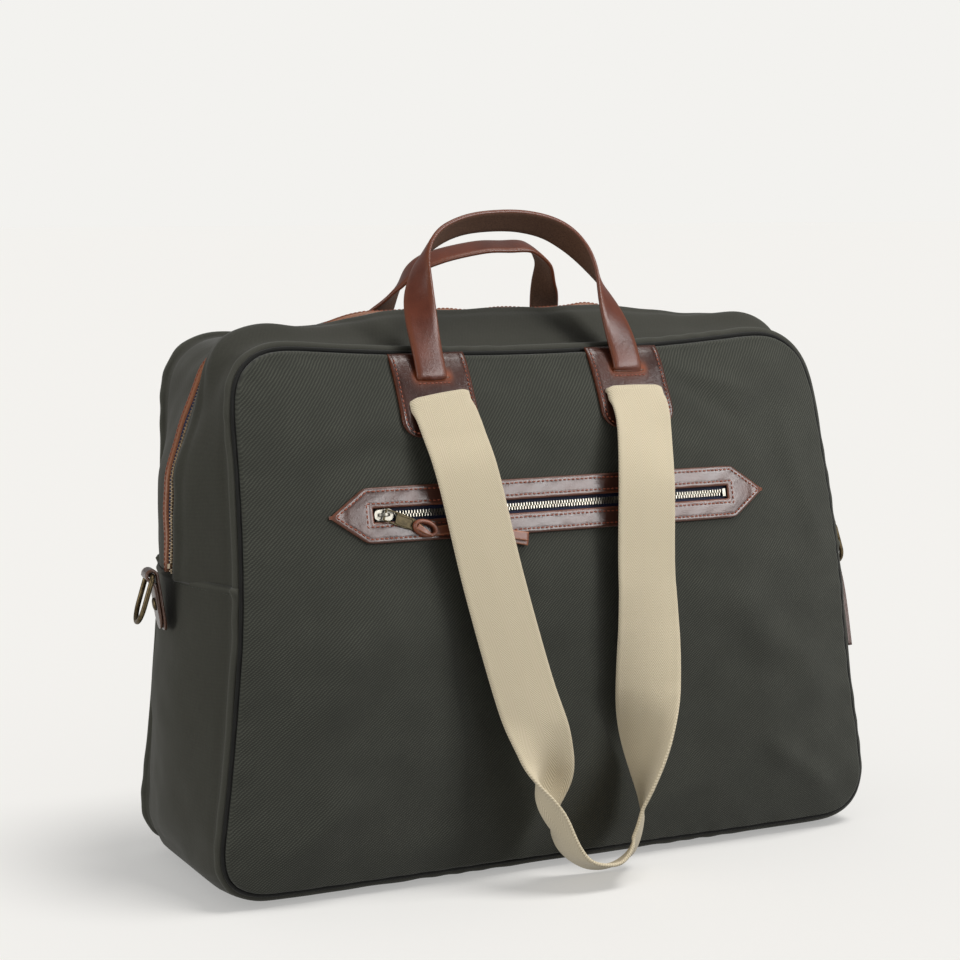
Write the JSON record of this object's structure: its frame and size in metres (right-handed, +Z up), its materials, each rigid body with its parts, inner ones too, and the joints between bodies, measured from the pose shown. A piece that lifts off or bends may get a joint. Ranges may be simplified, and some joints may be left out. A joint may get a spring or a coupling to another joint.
{
  "type": "weekender bag",
  "caption": "Canvas travel bag with a domed zipped top, zipped front pocket, leather carry handles, long webbing shoulder loops and side rings.",
  "frame": {"origin": "on the floor, under the middle of the bag's base", "axes": "+X to the bag's right as seen from the front, -Y towards the front with the zipped pocket, +Z up"},
  "size_m": [0.5668, 0.2988, 0.4588],
  "materials": {
    "canvas": "matt heavy cotton twill",
    "leather": "waxed reddish-brown leather",
    "cognac_leather": "satin",
    "navy_tape": "matt woven tape",
    "brass": "satin",
    "antique_brass": "aged",
    "nickel": "satin",
    "webbing": "matt woven cotton",
    "lining": "matt plain weave",
    "board": "matt"
  },
  "bodies": {
    "bag": {"base_board": "board", "front_lining": "lining", "front_panel": "canvas", "front_patch_left": "leather", "front_patch_right": "leather", "front_seam_ridge": "canvas", "front_top_gusset": "canvas", "front_zip_tape": "navy_tape", "front_zip_trim": "cognac_leather", "gusset_lining": "lining", "lower_gusset": "canvas", "main_zip_stop": "brass", "main_zip_teeth": "brass", "pocket_pouch": "lining", "pocket_surround": "leather", "pocket_tape_lower": "navy_tape", "pocket_tape_upper": "navy_tape", "pocket_zip_stop": "nickel", "pocket_zip_teeth": "brass", "rear_lining": "lining", "rear_panel": "canvas", "rear_patch_left": "leather", "rear_patch_right": "leather", "rear_seam_ridge": "canvas", "rear_top_gusset": "canvas", "rear_zip_tape": "navy_tape", "rear_zip_trim": "cognac_leather", "ring_tab_left": "leather", "ring_tab_right": "leather", "rivet_left": "antique_brass", "rivet_right": "antique_brass"},
    "pocket_slider": {"pocket_slider": "nickel"},
    "pocket_pull": {"pocket_pull": "nickel", "pocket_lace": "leather"},
    "main_slider": {"main_slider": "antique_brass"},
    "main_pull": {"main_pull": "antique_brass"},
    "main_lace": {"main_lace": "leather"},
    "front_handle": {"front_handle": "leather"},
    "rear_handle": {"rear_handle": "leather"},
    "front_webbing": {"front_webbing": "webbing"},
    "rear_webbing": {"rear_webbing": "webbing"},
    "ring_left": {"ring_left": "antique_brass"},
    "ring_right": {"ring_right": "antique_brass"}
  },
  "joints": [
    {"name": "pocket_zip_slide", "type": "slide", "parent": "bag", "child": "pocket_slider", "axis": [1, 0, 0], "range_m": [0, 0.256]},
    {"name": "pocket_pull_flip", "type": "hinge", "parent": "pocket_slider", "child": "pocket_pull", "pos_m": [-0.135, -0.07406, 0.25809], "axis": [-0.3746, -0.2164, -0.9016], "range_deg": [0, 165], "deforming": ["pocket_lace"]},
    {"name": "main_zip_slide", "type": "slide", "parent": "bag", "child": "main_slider", "axis": [-0.0601, 0.129, 0.9898], "range_m": [0, 0.036]},
    {"name": "main_pull_flip", "type": "hinge", "parent": "main_slider", "child": "main_pull", "pos_m": [0.26031, 0.00935, 0.23665], "axis": [-0.0445, -0.6767, 0.7349], "range_deg": [0, 150]},
    {"name": "main_lace_swing", "type": "hinge", "parent": "main_pull", "child": "main_lace", "pos_m": [0.26166, -0.01111, 0.21788], "axis": [0.0445, 0.6767, -0.7349], "range_deg": [-60, 0]},
    {"name": "front_handle_fold", "type": "hinge", "parent": "bag", "child": "front_handle", "pos_m": [-0.008, -0.04174, 0.3478], "axis": [1, 0, 0], "range_deg": [0, 110]},
    {"name": "rear_handle_fold", "type": "hinge", "parent": "bag", "child": "rear_handle", "pos_m": [0.008, 0.12059, 0.3478], "axis": [-1, 0, 0], "range_deg": [0, 110]},
    {"name": "front_webbing_lift", "type": "hinge", "parent": "bag", "child": "front_webbing", "pos_m": [-0.008, -0.05225, 0.3308], "axis": [1, 0, 0], "range_deg": [-130, 0]},
    {"name": "rear_webbing_lift", "type": "hinge", "parent": "bag", "child": "rear_webbing", "pos_m": [0.008, 0.12384, 0.3308], "axis": [-1, 0, 0], "range_deg": [-130, 0]},
    {"name": "ring_left_swing", "type": "hinge", "parent": "bag", "child": "ring_left", "pos_m": [-0.2712, 0.00799, 0.21571], "axis": [0.15, 0.9872, -0.0551], "range_deg": [0, 110]},
    {"name": "ring_right_swing", "type": "hinge", "parent": "bag", "child": "ring_right", "pos_m": [0.2712, 0.00799, 0.21571], "axis": [0.15, -0.9872, 0.0551], "range_deg": [0, 110]}
  ]
}
